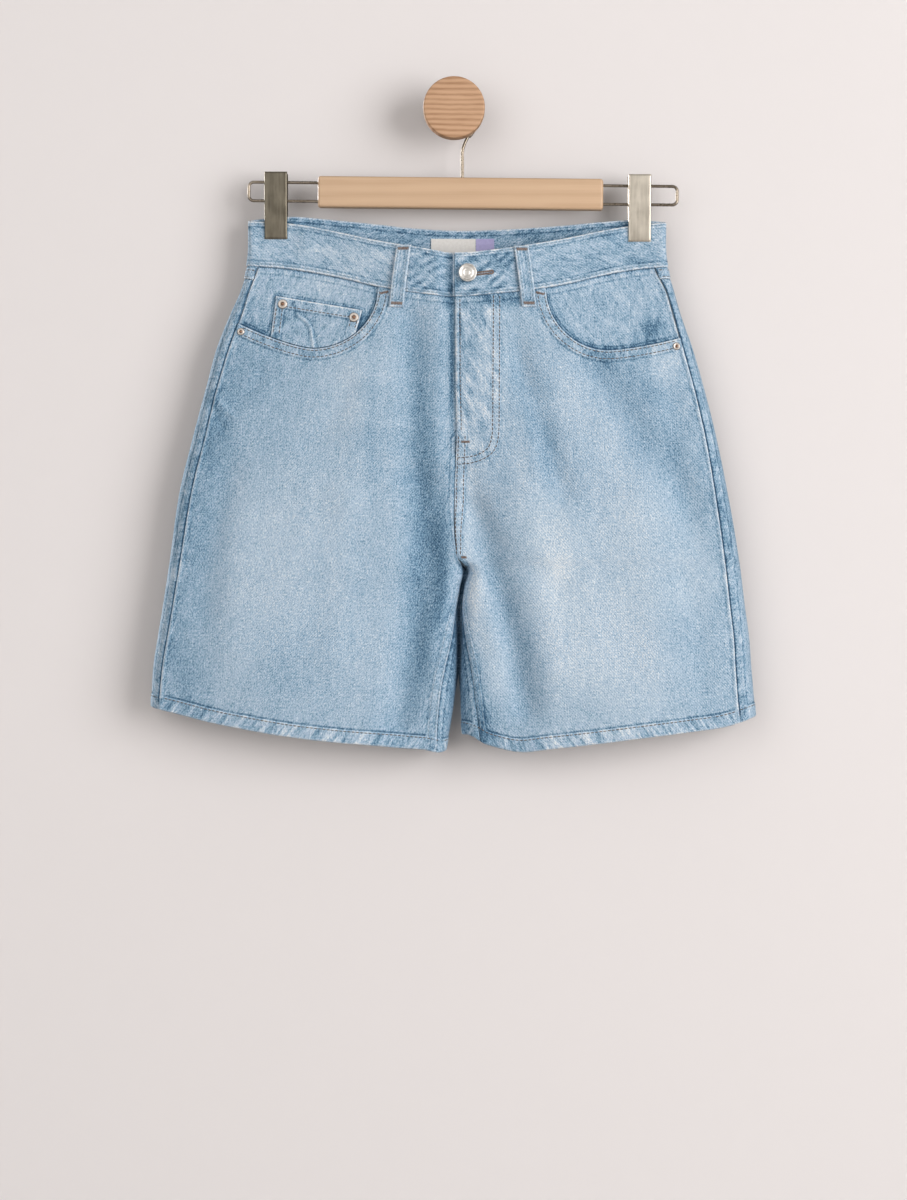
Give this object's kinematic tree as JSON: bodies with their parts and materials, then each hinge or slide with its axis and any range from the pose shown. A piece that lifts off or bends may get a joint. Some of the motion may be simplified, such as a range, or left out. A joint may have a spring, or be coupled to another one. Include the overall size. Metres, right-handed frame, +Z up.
{
  "type": "denim shorts on a clip hanger and wall peg",
  "caption": "Knee-length five-pocket denim shorts, clipped at the waistband to a wooden bar hanger whose hook hangs on a round wooden wall peg.",
  "frame": {"origin": "the centre of the peg's back face, where it meets the wall", "axes": "+Z up, +Y into the wall, +X towards the wearer's left; the front of the shorts faces -Y"},
  "size_m": [0.5432, 0.0543, 0.6048],
  "materials": {
    "denim": "light-washed cotton twill, matt",
    "label_pale": "woven ribbon, off-white, bare",
    "label_lilac": "woven ribbon, lilac, bare",
    "button_metal": "nickel-plated, satin",
    "rivet_metal": "copper-plated, worn",
    "dark_nickel": "dark nickel, satin",
    "pale_nickel": "pale nickel, satin",
    "hanger_wire": "nickel-plated wire",
    "beech": "clear-lacquered beech",
    "oiled_wood": "oiled end grain"
  },
  "bodies": {
    "root": {"back_panel_left": "denim", "back_panel_right": "denim", "back_pocket_left": "denim", "back_pocket_right": "denim", "back_yoke_left": "denim", "back_yoke_right": "denim", "belt_loop_back_left": "denim", "belt_loop_back_right": "denim", "belt_loop_centre_back": "denim", "belt_loop_front_left": "denim", "belt_loop_front_right": "denim", "button": "button_metal", "clip_back_left": "pale_nickel", "clip_back_right": "dark_nickel", "clip_front_left": "pale_nickel", "clip_front_right": "dark_nickel", "coin_pocket": "denim", "front_panel_left": "denim", "front_panel_right": "denim", "hanger_bar": "beech", "hook": "hanger_wire", "label_lilac": "label_lilac", "label_pale": "label_pale", "pocket_facing_left": "denim", "pocket_facing_right": "denim", "rivet_coin_inner": "rivet_metal", "rivet_coin_outer": "rivet_metal", "rivet_mouth_left": "rivet_metal", "rivet_mouth_right": "rivet_metal", "waistband": "denim", "wall_peg": "oiled_wood", "wire_loop_left": "hanger_wire", "wire_loop_right": "hanger_wire"}
  },
  "joints": []
}
